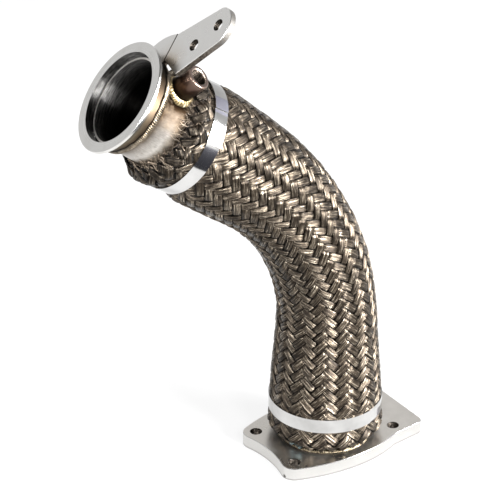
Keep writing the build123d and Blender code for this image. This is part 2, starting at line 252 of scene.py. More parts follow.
def braid(hand, tows):
    """Some of the tows of one hand, as points, faces, UVs and numbers for the shader."""
    pitches = BRAID_ROWS / 2
    steps = int(pitches * PER_PITCH) + 1
    t = np.linspace(PHASE + 0.02, PHASE + pitches - 0.02, steps)[None, :, None]
    tow = np.array(tows)[:, None, None]
    seed = (tow * 0.731 + (0.37 if hand > 0 else 0.11)) % 1.0 * 6.283
    psi = (2 * pi * np.arange(PER_GIRTH) / PER_GIRTH)[None, None, :]
    side = rounded(np.cos(psi), 0.7)
    lift = rounded(np.sin(psi), 0.75)

    middle = SLEEVE_START + (t - PHASE) * 2 * ROW_STEP
    x_mid = tow + hand * t
    angle_mid = (x_mid + PHASE) * 2 * pi / TOWS
    column = 2 * pi / TOWS * crest_radius(middle)
    in_bend = fade(np.abs(middle - LOWER - BEND / 2) - BEND / 2 + 8 * MM, 16 * MM)
    pitch = 2 * ROW_STEP * (1 + in_bend * 42 * MM * np.cos(angle_mid) / BEND_R)
    share = pitch**2 / (column**2 + pitch**2)

    head_loose = fade(SLEEVE_END - middle - 6 * MM, 17 * MM)
    foot_loose = fade(middle - SLEEVE_START, 14 * MM)
    wobble = 0.03 + 0.16 * head_loose + 0.05 * foot_loose
    width = 1 + 0.06 * waves(t * 1.7, seed + 2.1, 1.0) - 0.12 * head_loose
    q = 0.5 * TOW_COVER * width * side + wobble * waves(t, seed, 2.2)
    x = x_mid + q * share
    tt = t - hand * q * (1 - share)
    station = SLEEVE_START + (tt - PHASE) * 2 * ROW_STEP
    station = np.clip(station, SLEEVE_START - 2 * MM, SLEEVE_END + 2 * MM)
    x = np.broadcast_to(x, station.shape)
    angle = (x + PHASE) * 2 * pi / TOWS
    centre, spoke, radius, loose = sleeve_surface(station, angle)

    crossing = (tow + x + hand * tt) / 2
    s = hand * np.cos(pi * (crossing - PHASE))
    over = s / np.sqrt(s**2 + SWITCH_SHARP**2) * sqrt(1 + SWITCH_SHARP**2)
    free = 0.15 + 0.85 * loose
    bulk = 0.5 + 0.5 * loose
    thick = TOW_THICK * (1 + 0.10 * over + 0.10 * waves(t * 2.3, seed + 1.3, 1.0))
    thick = thick * bulk
    rise = TOW_RISE * free * (1 + 0.22 * waves(t * 1.1, seed + 3.3, 1.9))
    lean = TOW_LEAN * loose * waves(t * 0.9, seed + 5.2, 2.6) * side
    crumple = waves(t * 3.1, seed + 4.0, 1.7) + 0.5 * waves(t * 6.3, seed + 1.0, 1.3)
    crumple = np.clip(MM * head_loose * crumple * loose, -1.4 * MM, 0.9 * MM)
    level = radius - TOW_RISE * free - TOW_THICK * bulk / 2 - 0.05 * MM
    out = level + rise * over + lean + lift * thick / 2 + crumple
    points = centre + spoke * out[..., None]

    along = np.broadcast_to(t * TOW_PITCH_RUN + tow * 0.37, station.shape)
    wide = np.broadcast_to(q * TOW_WIDTH, station.shape)
    uv = np.stack([along, wide], -1)
    # The large factor makes a fixed but random tone for each tow
    tone = np.broadcast_to(np.sin(tow * 78.233 + hand * 3.1) * 43758.5453 % 1.0, station.shape)
    edge = np.abs(side) ** 5
    # Painted shade: darker where a tow dives under, on its underside and towards its edges
    crevice_shade = np.clip((0.5 + 0.5 * over) ** 0.7 * (0.55 + 0.45 * lift) * (1 - 0.55 * edge), 0, 1)
    ragged = np.broadcast_to(head_loose + foot_loose * 0.5, station.shape)

    faces = tube_faces(len(tows), steps, PER_GIRTH)
    if hand < 0:
        faces = [tuple(reversed(face)) for face in faces]
    return points, faces, uv, {"tone": tone, "crevice_shade": crevice_shade, "ragged": ragged}


def liner():
    """The inner wall of the sleeve, closed at both rims; its near-black colour is painted shade in the gaps
    between the tows.
    """
    rows, columns = 100, 96
    station = np.linspace(SLEEVE_START + 0.6 * MM, SLEEVE_END - 0.6 * MM, rows)[:, None]
    station, angle = np.broadcast_arrays(station, full_turn(columns))
    centre, spoke, radius, loose = sleeve_surface(station, angle)
    free = 0.15 + 0.85 * loose
    bulk = 0.55 + 0.45 * loose
    depth = (2 * TOW_RISE * free + TOW_THICK * bulk) * 0.86
    outer = centre + spoke * (radius - depth)[..., None]
    inner = centre + spoke * (OVER_PIPE + 0.05 * MM)
    points = np.concatenate([outer, inner[::-1]])
    return points, grid_faces(2 * rows, columns, wrap_rows=True, wrap_columns=True)


def strand_mesh(paths, radius, sides):
    """Thin tubes along many polylines of equal length, tapering to their ends."""
    count, steps, _ = paths.shape
    tangent = np.gradient(paths, axis=1)
    tangent /= np.linalg.norm(tangent, axis=2, keepdims=True) + 1e-12
    helper = np.array([0.3, 0.5, 0.81])
    first = np.cross(tangent, helper)
    first /= np.linalg.norm(first, axis=2, keepdims=True) + 1e-12
    second = np.cross(tangent, first)
    taper = np.sqrt(np.clip(1 - np.linspace(0, 1, steps) ** 3 * 0.85, 0.1, 1))
    turn = 2 * pi * np.arange(sides) / sides
    ring = around(first[:, :, None], second[:, :, None], turn)
    points = paths[:, :, None] + ring * (radius[:, None] * taper)[:, :, None, None]
    return points, tube_faces(count, steps, sides)


def laid_strands(count, steps, start, length, slant, height, girth, curl_size):
    """Strands that start on the sleeve's head and lie towards the inlet, as paths along the pipe."""
    laid_r, drop_start, drop_run = 43 * MM, 5 * MM, 6 * MM
    angle = rng.uniform(0, 2 * pi, count)
    curl = rng.normal(0, 1.0, count)
    k = np.linspace(0, 1, steps)[None, :]
    station = start[:, None] + (length * np.cos(slant))[:, None] * k
    turn = angle[:, None] + (length * np.sin(slant))[:, None] * k / laid_r
    turn = turn + curl_size * np.sin(k * 4 + curl[:, None] * 4) * np.sin(pi * k)
    outer = np.minimum(crest_radius(np.minimum(station, SLEEVE_END)), UPPER_BAND_R)
    past = np.clip((station - SLEEVE_END + drop_start) / drop_run, 0, 1)
    floor_r = OVER_PIPE + 0.2 * MM + girth[:, None]
    r = outer + height[:, None] - (outer + height[:, None] - floor_r) * past**1.3
    r = r + 0.6 * MM * np.sin(k * 7 + curl[:, None] * 5) * (1 - past)
    r = np.maximum(r, floor_r)
    centre, crown = route(station)
    return centre + around(crown, ACROSS, turn) * r[..., None]


def fringe():
    """Loose yarns and filaments over the sleeve's cut head, as one mesh with a tone for each strand."""
    kinds = []
    for count, steps, sides, low, high, back, reach, lift, spread, curl_size in (
        (190, 12, 6, 0.30, 0.75, 11.0, 11.0, -0.9, 0.9, 0.05),
        (520, 9, 4, 0.07, 0.20, 5.0, 8.0, -0.4, 0.75, 0.03),
    ):
        girth = rng.uniform(low, high, count) * MM
        start = SLEEVE_END - rng.uniform(0.3, 1.0, count) * back * MM
        length = (rng.gamma(4.0, reach / 4, count)).clip(2, reach * 1.5) * MM
        slant = rng.normal(0, spread, count)
        height = (lift + rng.uniform(-0.9, 0.7, count)) * MM
        paths = laid_strands(count, steps, start, length, slant, height, girth, curl_size)
        points, faces = strand_mesh(paths, girth, sides)
        kinds.append((points.reshape(-1, 3), faces, np.repeat(rng.uniform(0, 1, count), steps * sides)))
    points = np.concatenate([kind[0] for kind in kinds])
    first = len(kinds[0][0])
    faces = kinds[0][1] + [tuple(i + first for i in face) for face in kinds[1][1]]
    return points, faces, np.concatenate([kind[2] for kind in kinds])


# Welds, bung and threads

SCALE_PEAK, SCALE_FALL = 0.78, 0.22
PER_RIPPLE = 9
BEAD_ROWS = 13
BUNG_RIPPLES = 34
ROUND_BUNG = np.cross(FLOW, BUNG_DIR)


def scales(phase):
    """Height of a weld's overlapping scales: each one rises slowly and falls fast."""
    phase = phase % 1.0
    rise = np.sin(phase / SCALE_PEAK * pi / 2) ** 0.8
    return np.where(phase < SCALE_PEAK, rise, np.cos((phase - SCALE_PEAK) / SCALE_FALL * pi / 2))


def closed_bead(surface, root, v, scale):
    """A bead from its surface and the row of points at its root, with numbers for the shader."""
    rows, columns = scale.shape
    faces = grid_faces(rows + 1, columns, wrap_rows=True, wrap_columns=True)
    across = np.concatenate([np.broadcast_to(v, scale.shape), np.ones((1, columns))])
    crest = np.concatenate([scale, np.zeros((1, columns))])
    return np.concatenate([surface, root]), faces, {"across": across, "crest": crest}


def ring_bead(origin, axis, start, low, high, bulge, spacing, lean, relief, seed):
    """A rippled weld ring round an axis, between two toes given as radius and height along the axis."""
    ripples = int(2 * pi * (low[0] + high[0]) / 2 / spacing)
    turn = full_turn(ripples * PER_RIPPLE)
    v = np.linspace(-1, 1, BEAD_ROWS)[:, None]
    wander = 0.12 * np.sin(turn * 7 + seed) + 0.08 * np.sin(turn * 17 + seed * 2)
    scale = scales(turn * ripples / (2 * pi) + lean * (1 - v**2) + 0.25 * np.sin(turn * 11 + seed))
    height = bulge * (1 - v**2) ** 0.7 * (1 + 0.5 * wander) + relief * (scale - 0.5) * (1 - v**4)
    run = np.array([high[0] - low[0], high[1] - low[1]])
    normal = np.array([abs(run[1]), abs(run[0])]) / np.hypot(*run)
    if run[0] * run[1] > 0:
        normal[1] = -normal[1]
    stretch = 1 + 0.06 * np.sin(turn * 5 + seed) + 0.05 * np.sin(turn * 23 + seed)
    r = low[0] + run[0] * (v * stretch + 1) / 2 + normal[0] * height
    h = low[1] + run[1] * (v * stretch + 1) / 2 + normal[1] * height
    r = np.maximum(r, OVER_PIPE - 0.05 * MM)
    spoke = around(start, np.cross(axis, start), turn)
    surface = origin + spoke * r[..., None] + axis * h[..., None]
    root_r = min(low[0], high[0]) - 0.02 * MM
    root_h = max(low, high)[1]  # level with the wider toe
    root = origin + spoke * root_r + axis * root_h
    return closed_bead(surface, root, v, scale)


def saddle_height(offset):
    """Height of the pipe's wall along the bung's direction, at an offset from the bung's axis."""
    return np.sqrt(PIPE_R**2 - offset**2)


def bung_bead():
    """The rippled weld where the bung stands on the pipe."""
    turn = full_turn(BUNG_RIPPLES * PER_RIPPLE)
    v = np.linspace(-1, 1, BEAD_ROWS)[:, None]
    scale = scales(turn * BUNG_RIPPLES / (2 * pi) + 0.55 * (1 - v**2) + 0.3 * np.sin(turn * 5))
    outer = 3.7 * MM * (1 + 0.10 * np.sin(turn * 3 + 1) + 0.06 * np.sin(turn * 8))
    leg = 3.4 * MM * (1 + 0.08 * np.sin(turn * 4 + 2))
    height = 0.55 * MM * (1 - v**2) + 0.5 * MM * (scale - 0.5) * (1 - v**4)
    ring_r = BUNG_R + outer * (1 - v) / 2
    ring_r = np.maximum(ring_r + height * 0.7, BUNG_R)
    stand = saddle_height(ring_r * np.sin(turn)) + leg * (v + 1) / 2 + height * 0.7
    arm = around(FLOW, ROUND_BUNG, turn)
    surface = BUNG_O + arm * ring_r[..., None] + BUNG_DIR * stand[..., None]
    root_r = BUNG_R - 0.05 * MM
    root_stand = saddle_height(root_r * np.sin(turn)) - 0.02 * MM
    root = BUNG_O + arm * root_r + BUNG_DIR * root_stand[..., None]
    return closed_bead(surface, root, v, scale)


def threaded_bung():
    """The turned bung: outer wall down to the pipe, chamfered rims and the thread in its bore."""
    columns, thread_rows = 96, 130
    pitch, depth, thread_foot = 1.5 * MM, 0.8 * MM, 37.0 * MM
    turn = full_turn(columns)
    # Radius, height and brightness of each ring of the outside and the mouth
    outline = [
        (BUNG_R, BUNG_TOP - 1.0 * MM, 0),
        (BUNG_R - 0.1 * MM, BUNG_TOP - 0.75 * MM, 0),
        (BUNG_R - 0.7 * MM, BUNG_TOP - 0.12 * MM, 0.1),
        (BUNG_R - 0.95 * MM, BUNG_TOP, 0.05),
        (BUNG_MOUTH_R + 0.35 * MM, BUNG_TOP, 0.1),
        (BUNG_MOUTH_R - 0.05 * MM, BUNG_TOP - 0.15 * MM, 0.7),
        (BUNG_BORE_R + 0.45 * MM, BUNG_TOP - 0.95 * MM, 0.25),
    ]
    foot = saddle_height(BUNG_R * np.sin(turn)) + 0.15 * MM
    rings = [(np.full((1, columns), BUNG_R), foot, 0.0)]
    for radius, height, bright in outline:
        rings.append((np.full((1, columns), radius), np.full((1, columns), height), bright))
    levels = np.linspace(BUNG_TOP - 1.2 * MM, thread_foot, thread_rows)[:, None]
    phase = (levels / pitch - turn / (2 * pi)) % 1.0
    tooth = np.clip(np.abs(phase - 0.5) * 2 * 1.35 - 0.18, 0, 1)
    bore = BUNG_BORE_R + depth * tooth
    radii = np.concatenate([ring[0] for ring in rings] + [bore])
    heights = np.concatenate([ring[1] for ring in rings] + [np.broadcast_to(levels, bore.shape)])
    points = BUNG_O + around(FLOW, ROUND_BUNG, turn) * radii[..., None] + BUNG_DIR * heights[..., None]
    bright = np.concatenate([np.full((1, columns), ring[2]) for ring in rings] + [np.zeros(bore.shape)])
    inside = np.concatenate([np.zeros((len(rings), columns)), 1 - 0.6 * tooth])
    faces = grid_faces(len(radii), columns, wrap_rows=True, wrap_columns=True)
    return points, faces, {"inside": inside, "bright": bright}


def tack():
    """The short lumpy bead that ties the bracket's arm to the inlet flange."""
    place = INLET - FLOW * 15.5 * MM
    start = place + CROWN * 39.2 * MM - ACROSS * 19.0 * MM
    end = place + CROWN * 43.6 * MM - ACROSS * 24.0 * MM
    length = np.linalg.norm(end - start)
    run = (end - start) / length
    out = CROWN * 0.72 - ACROSS * 0.69
    out = out - run * (out @ run)
    out = out / np.linalg.norm(out)
    rows, columns = 40, 28
    k = np.linspace(0, 1, rows)[:, None]
    turn = full_turn(columns)
    beat = k * 34
    body = np.sin(pi * (0.03 + 0.94 * k)) ** 0.45
    ripple = 1 + 0.07 * np.sin(beat + 1.2 * np.cos(turn))
    lump = 1 + 0.12 * np.sin(k * 6 + 1) * np.cos(turn)
    wide = 2.9 * MM * body * ripple * lump
    tall = 2.5 * MM * body * ripple
    spine = start + run * (length * k)[..., None]
    flank = np.cross(run, out) * (wide * np.cos(turn))[..., None]
    points = spine + flank + out * (tall * np.sin(turn))[..., None]
    crest = np.broadcast_to(0.5 + 0.5 * np.sin(beat), (rows, columns))
    return points, tube_faces(1, rows, columns), {"across": np.zeros((rows, columns)), "crest": crest}


def thread(origin, axis, start, radius, low, high, pitch, depth):
    """A threaded lining for a round hole, as points and faces."""
    columns, rows = 40, int((high - low) / pitch * 10)
    turn = full_turn(columns)
    levels = np.linspace(low, high, rows)[:, None]
    phase = (levels / pitch - turn / (2 * pi)) % 1.0
    tooth = np.clip(np.abs(phase - 0.5) * 2 * 1.3 - 0.15, 0, 1)
    near_end = np.minimum(levels - low, high - levels) < 0.3 * MM
    valley = radius - 0.08 * MM
    bore = np.where(near_end, valley, valley - depth * (1 - tooth))
    outer = np.full((1, columns), radius - 0.01 * MM)
    radii = np.concatenate([outer, bore, outer])
    levels = np.broadcast_to(levels, bore.shape)
    heights = np.concatenate([levels[:1], levels, levels[-1:]])
    arm = around(start, np.cross(axis, start), turn)
    points = origin + arm * radii[..., None] + axis * heights[..., None]
    return points.reshape(-1, 3), grid_faces(rows + 2, columns, wrap_rows=True, wrap_columns=True)


def joined(parts):
    """Several meshes as one."""
    points, faces, first = [], [], 0
    for part_points, part_faces in parts:
        points.append(part_points)
        faces.append(part_faces + first)
        first += len(part_points)
    return np.concatenate(points), np.concatenate(faces)


def seam_shade_fill():
    """The sunken weld in the seam between the bracket's two plates, made near-black as painted shade of the
    gap.
    """
    inner, outer = np.array(SEAM_INNER), np.array(SEAM_OUTER)
    run = (outer - inner) / np.linalg.norm(outer - inner)
    step = np.array([-run[1], run[0]]) * SEAM_GAP
    rows = 60
    k = np.linspace(0.0, 1.0, rows)[:, None]
    # One cross-section, in seam widths and in shares of the plates' half thickness
    half = np.array([[-1, -0.9, 0.9, 1, 1, 0.9, -0.9, -1]]) * (0.86 + 0.06 * np.sin(k * 90))
    depth = np.array([[0.95, 1, 1, 0.95, -0.95, -1, -1, -0.95]])
    sunk = (-0.06 + 0.03 * np.sin(k * 61) + 0.02 * np.sin(k * 23)) * MM
    flat = inner + (outer - inner) * k[..., None] + step * (half[..., None] + 0.5)
    behind = ARM_SETBACK + ARM_THICK / 2 - depth * (ARM_THICK / 2 - sunk)
    points = INLET + flat[..., :1] * CROWN + flat[..., 1:] * ACROSS - behind[..., None] * FLOW
    return points, tube_faces(1, rows, depth.shape[1])


# Materials

def set_ramp(ramp, stops):
    """Gives a colour ramp its places and colours."""
    ends = ramp.elements
    ends[0].position, ends[0].color = stops[0][0], (*stops[0][1], 1)
    ends[1].position, ends[1].color = stops[-1][0], (*stops[-1][1], 1)
    for position, colour in stops[1:-1]:
        ramp.elements.new(position).color = (*colour, 1)


class Surface:
    """A material and short ways to add nodes to it."""

    def __init__(self, name, **settings):
        self.material = bpy.data.materials.new(name)
        self.material.use_nodes = True
        self.nodes = self.material.node_tree.nodes
        self.links = self.material.node_tree.links
        self.shader = next(n for n in self.nodes if n.type == "BSDF_PRINCIPLED")
        for key, value in settings.items():
            self.shader.inputs[key.replace("_", " ")].default_value = value
        geometry = self.nodes.new("ShaderNodeNewGeometry")
        self.place, self.normal = geometry.outputs["Position"], geometry.outputs["Normal"]

    def put(self, value, socket):
        if isinstance(value, bpy.types.NodeSocket):
            self.links.new(value, socket)
        elif hasattr(value, "__len__") and len(value) == 3 and socket.type == "RGBA":
            socket.default_value = (*value, 1.0)
        else:
            socket.default_value = value

    def set(self, **sockets):
        for key, value in sockets.items():
            self.put(value, self.shader.inputs[key.replace("_", " ")])
        return self.material

    def math(self, operation, a, b=0.0):
        node = self.nodes.new("ShaderNodeMath")
        node.operation = operation
        self.put(a, node.inputs[0])
        self.put(b, node.inputs[1])
        return node.outputs[0]

    def add(self, a, b):
        return self.math("ADD", a, b)

    def times(self, a, b):
        return self.math("MULTIPLY", a, b)

    def below(self, a, b):
        return self.math("LESS_THAN", a, b)

    def vector(self, operation, a, b):
        node = self.nodes.new("ShaderNodeVectorMath")
        node.operation = operation
        self.put(a, node.inputs[0])
        self.put(b, node.inputs[1])
        return node.outputs["Value" if operation in ("DOT_PRODUCT", "DISTANCE") else "Vector"]

    def dot(self, a, b):
        return self.vector("DOT_PRODUCT", a, b)

    def distance(self, point):
        return self.vector("DISTANCE", self.place, point)

    def split(self, vector):
        node = self.nodes.new("ShaderNodeSeparateXYZ")
        self.links.new(vector, node.inputs[0])
        return node.outputs

    def combine(self, x, y, z):
        node = self.nodes.new("ShaderNodeCombineXYZ")
        for value, socket in zip((x, y, z), node.inputs):
            self.put(value, socket)
        return node.outputs[0]

    def number(self, name):
        node = self.nodes.new("ShaderNodeAttribute")
        node.attribute_name = name
        return node.outputs["Fac"]

    def noise(self, vector, scale, detail=3.0, rough=0.55):
        node = self.nodes.new("ShaderNodeTexNoise")
        self.put(vector, node.inputs["Vector"])
        node.inputs["Scale"].default_value = scale
        node.inputs["Detail"].default_value = detail
        node.inputs["Roughness"].default_value = rough
        return node.outputs["Fac"]

    def remap(self, value, low, high, to_low=0.0, to_high=1.0, smooth=False):
        node = self.nodes.new("ShaderNodeMapRange")
        node.interpolation_type = "SMOOTHSTEP" if smooth else "LINEAR"
        settings = {"Value": value, "From Min": low, "From Max": high, "To Min": to_low, "To Max": to_high}
        for key, setting in settings.items():
            self.put(setting, node.inputs[key])
        return node.outputs["Result"]

    def ramp(self, value, stops):
        node = self.nodes.new("ShaderNodeValToRGB")
        set_ramp(node.color_ramp, stops)
        self.put(value, node.inputs["Fac"])
        return node.outputs["Color"]

    def mix(self, factor, a, b, blend="MIX"):
        node = self.nodes.new("ShaderNodeMix")
        node.data_type, node.blend_type = "RGBA", blend
        self.put(factor, node.inputs["Factor"])
        self.put(a, node.inputs[6])
        self.put(b, node.inputs[7])
        return node.outputs[2]

    def stain(self, colour, other):
        return self.mix(1.0, colour, other, "MULTIPLY")

    def bump(self, height, distance, strength):
        node = self.nodes.new("ShaderNodeBump")
        node.inputs["Distance"].default_value = distance
        node.inputs["Strength"].default_value = strength
        self.put(height, node.inputs["Height"])
        return node.outputs["Normal"]

    def wobble(self, scale, size):
        """Smooth random shifts, the size from one extreme to the other."""
        return self.times(self.math("SUBTRACT", self.noise(self.place, scale), 0.5), size)

    def from_inlet(self):
        return self.vector("SUBTRACT", self.place, tuple(INLET))

    def setback(self):
        """Distance behind the inlet's face, in metres."""
        return self.times(self.dot(self.from_inlet(), tuple(FLOW)), -1.0)

    def crown_and_side(self):
        """Distances from the upper pipe's axis, towards the bend's outside and across it, in metres."""
        run = self.from_inlet()
        return self.dot(run, tuple(CROWN)), self.dot(run, tuple(ACROSS))

    def from_inlet_axis(self):
        """Distance from the upper pipe's axis, in metres."""
        run = self.from_inlet()
        along = self.dot(run, tuple(FLOW))
        square = self.math("SUBTRACT", self.dot(run, run), self.times(along, along))
        return self.math("SQRT", self.math("MAXIMUM", square, 0.0))

    def from_foot_axis(self):
        """Distance from the lower pipe's axis, in metres."""
        x, y, _ = self.split(self.place)
        return self.math("SQRT", self.add(self.math("POWER", x, 2.0), self.math("POWER", y, 2.0)))

    def grooves(self):
        """Brighter and darker turned rings, each one broken up a little on its way round."""
        crown, side = self.crown_and_side()
        place = self.combine(self.setback(), self.times(crown, 0.06), self.times(side, 0.06))
        rings = self.noise(place, 1500.0, 3.0, 0.7)
        return self.ramp(rings, [(0.40, (0.35, 0.35, 0.35)), (0.62, (1.5, 1.5, 1.5))])

    def turned(self):
        """The direction round the inlet's axis, which turned grooves follow."""
        return self.vector("CROSS_PRODUCT", self.normal, tuple(FLOW))


def braid_material():
    s = Surface("basalt_braid", Metallic=0.8, Anisotropic=1.0, Anisotropic_Rotation=0.25)
    run = s.nodes.new("ShaderNodeUVMap")
    run.uv_map = "run"
    along, wide, _ = s.split(run.outputs["UV"])
    tow_seed = s.times(s.number("tone"), 40.0)
    strands = s.noise(s.combine(s.times(along, 70.0), s.times(wide, 1300.0), tow_seed), 1.0, 3.0, 0.6)
    fine = s.noise(s.combine(s.times(along, 190.0), s.times(wide, 4600.0), 3.0), 1.0, 2.0, 0.6)
    patchy = s.noise(s.place, 55.0, 3.0, 0.6)
    grain = s.add(s.times(strands, 0.6), s.times(fine, 0.4))
    colour = s.ramp(grain, [
        (0.38, (0.006, 0.0045, 0.003)), (0.48, (0.026, 0.019, 0.0135)),
        (0.56, (0.095, 0.074, 0.052)), (0.66, (0.66, 0.57, 0.45))])
    tone = s.remap(s.number("tone"), 0.0, 1.0, 0.78, 1.16)
    # Painted shade in the crevices between and under the tows
    depth = s.remap(s.number("crevice_shade"), 0.12, 0.80, 0.05, 1.0, smooth=True)
    # Darker where the weave is loose, most at the head and less at the foot
    darker_where_loose = s.remap(s.number("ragged"), 0.0, 1.0, 1.0, 0.5)
    shade = s.times(s.times(s.times(tone, depth), s.remap(patchy, 0.3, 0.7, 0.82, 1.14)), darker_where_loose)
    colour = s.stain(colour, s.combine(shade, shade, shade))
    scorched = s.remap(s.distance(FOOT_SCORCH), 4 * MM, 10 * MM, 0.9, 0.0, smooth=True)
    scorch = s.ramp(grain, [(0.44, (0.003, 0.005, 0.006)), (0.66, (0.26, 0.40, 0.46))])
    colour = s.mix(scorched, colour, scorch)
    rough = s.remap(grain, 0.3, 0.7, 0.54, 0.36)
    tangent = s.nodes.new("ShaderNodeTangent")
    tangent.direction_type, tangent.uv_map = "UV_MAP", "run"
    return s.set(Base_Color=colour, Roughness=rough, Normal=s.bump(grain, 0.45 * MM, 1.0),
                 Tangent=tangent.outputs[0])


def liner_material():
    s = Surface("sleeve_inside_shade", Roughness=0.9, Metallic=0.0)
    grain = s.noise(s.place, 900.0, 4.0, 0.7)
    # Near-black: painted shade seen through the gaps between the tows
    colour = s.ramp(grain, [(0.3, (0.006, 0.004, 0.003)), (0.7, (0.035, 0.024, 0.016))])
    return s.set(Base_Color=colour, Normal=s.bump(grain, 0.5 * MM, 0.8))


def fringe_material():
    s = Surface("loose_filaments", Roughness=0.4, Metallic=0.5)
    colour = s.ramp(s.number("tone"), [
        (0.0, (0.012, 0.008, 0.006)), (0.5, (0.10, 0.075, 0.052)), (1.0, (0.42, 0.34, 0.26))])
    return s.set(Base_Color=colour)


def pipe_material():
    """Bare tube with a heat tint near the inlet weld and round the bung, painted shade on its top and where
    the sleeve meets it, and soot inside that is partly painted shade.
    """
    s = Surface("pipe_steel", Metallic=1.0, Anisotropic_Rotation=0.25)
    setback = s.setback()
    crown, side = s.crown_and_side()
    wobble = s.wobble(60.0, 7 * MM)
    # Along the tube: heat tint near the inlet weld, bare steel, then painted shade darkening towards the
    # sleeve's edge
    tint = s.ramp(s.remap(s.add(setback, wobble), 15 * MM, 44 * MM), [
        (0.00, (0.09, 0.055, 0.03)), (0.15, (0.13, 0.09, 0.055)), (0.22, (0.17, 0.14, 0.11)),
        (0.36, (0.39, 0.36, 0.325)), (0.64, (0.62, 0.585, 0.54)), (0.82, (0.37, 0.325, 0.27)),
        (1.00, (0.10, 0.076, 0.055))])
    from_bung = s.add(s.distance(tuple(BUNG_O + BUNG_DIR * PIPE_R)), s.times(wobble, 0.4))
    burnt = s.ramp(s.remap(from_bung, 13 * MM, 23 * MM, smooth=True), [
        (0.0, (0.05, 0.032, 0.02)), (0.25, (0.12, 0.085, 0.055)), (0.5, (0.30, 0.245, 0.19)),
        (1.0, (1, 1, 1))])
    tint = s.stain(tint, burnt)
    # Painted shade: darker towards the top
    top_shade = s.ramp(s.remap(s.add(crown, wobble), -9 * MM, 12 * MM), [
        (0.0, (1, 1, 1)), (0.6, (0.22, 0.199, 0.178)), (1.0, (0.10, 0.082, 0.067))])
    tint = s.stain(tint, top_shade)
    stain = s.noise(s.place, 140.0, 5.0, 0.65)
    tint = s.mix(s.remap(stain, 0.52, 0.8, 0.0, 0.5), tint, (0.17, 0.13, 0.09))

    near_inlet = s.times(s.math("GREATER_THAN", setback, PIPE_END), s.below(setback, INLET_BORE_REACH))
    upper_inside = s.times(s.below(s.from_inlet_axis(), MID_WALL_R), near_inlet)
    near_foot = s.below(s.split(s.place)[2], FOOT_BORE_REACH)
    inside = s.math("MAXIMUM", upper_inside, s.times(s.below(s.from_foot_axis(), MID_WALL_R), near_foot))
    # Soot inside, darkening deeper into the bore: partly real soot, partly painted shade
    soot = s.ramp(s.remap(setback, PIPE_END, 30 * MM), [
        (0.0, (0.26, 0.252, 0.244)), (0.45, (0.05, 0.048, 0.046)), (1.0, (0.004, 0.0038, 0.0035))])
    colour = s.mix(inside, tint, s.stain(soot, s.grooves()))
    colour = s.mix(s.below(setback, PIPE_END), colour, (0.85, 0.82, 0.78))
    streaks = s.noise(s.combine(s.times(setback, 0.3), crown, side), 1100.0, 3.0)
    colour = s.stain(colour, s.ramp(streaks, [(0.3, (0.72, 0.72, 0.72)), (0.65, (1, 1, 1))]))
    rough = s.add(s.remap(stain, 0.3, 0.7, 0.34, 0.46), s.remap(crown, -12 * MM, 12 * MM, 0.0, 0.16))
    rough = s.add(rough, s.times(upper_inside, -0.04))
    return s.set(Base_Color=colour, Roughness=rough, Normal=s.bump(streaks, 0.03 * MM, 0.45),
                 Anisotropic=upper_inside, Tangent=s.turned())


def flange_material():
    """Turned flange, with painted shade behind its lip and towards the top, and sooty grooves in its mouth.
    """
    s = Surface("flange_steel", Metallic=1.0, Anisotropic_Rotation=0.25)
    setback = s.setback()
    wobble = s.wobble(70.0, 4 * MM)
    # Along the flange: the bright face, then darker behind the lip, partly painted shade in the recess and
    # partly the heat-tinted hub, darkest towards the weld
    tint = s.ramp(s.remap(s.add(setback, wobble), 0.0, 16 * MM), [
        (0.0, (0.78, 0.77, 0.75)), (0.17, (0.62, 0.605, 0.57)), (0.23, (0.10, 0.092, 0.078)),
        (0.40, (0.105, 0.096, 0.082)), (0.55, (0.115, 0.092, 0.063)), (0.68, (0.07, 0.052, 0.034)),
        (0.80, (0.03, 0.02, 0.013))])
    top_shade = s.remap(s.add(s.crown_and_side()[0], wobble), -14 * MM, 14 * MM)
    # Painted shade behind the lip, darker towards the top
    behind = s.times(s.remap(setback, 3 * MM, 8 * MM), top_shade)
    tint = s.mix(behind, tint, (0.05, 0.036, 0.024))
    axis_r = s.from_inlet_axis()
    wall = s.below(axis_r, FLANGE_BORE_R + 0.15 * MM)
    lathe = s.noise(s.combine(axis_r, setback, 0.0), 5200.0, 2.0)
    soot = s.ramp(s.noise(s.place, 45.0), [(0.35, (0.06, 0.058, 0.056)), (0.65, (0.28, 0.274, 0.266))])
    colour = s.mix(wall, tint, s.stain(soot, s.grooves()))
    rough = s.add(s.remap(lathe, 0.3, 0.7, 0.16, 0.30), s.remap(setback, 3 * MM, 9 * MM, 0.0, 0.24))
    rough = s.add(rough, s.times(wall, 0.18))
    return s.set(Base_Color=colour, Roughness=rough, Normal=s.bump(lathe, 0.012 * MM, 0.4),
                 Anisotropic=wall, Tangent=s.turned())


def weld_material(name, low, high, tint, rough):
    """Weld metal, darker between its ripples and along its two toes."""
    s = Surface(name, Metallic=1.0, Roughness=rough)
    base = s.ramp(s.noise(s.place, 260.0, 4.0, 0.6), [(0.3, low), (0.52, high), (0.75, tint)])
    crest = s.remap(s.number("crest"), 0.0, 1.0, 0.25, 1.15)
    toe = s.remap(s.math("ABSOLUTE", s.number("across")), 0.55, 0.95, 1.0, 0.12, smooth=True)
    shade = s.times(crest, toe)
    colour = s.stain(base, s.combine(shade, shade, shade))
    return s.set(Base_Color=colour, Normal=s.bump(s.noise(s.place, 1500.0), 0.05 * MM, 0.5))


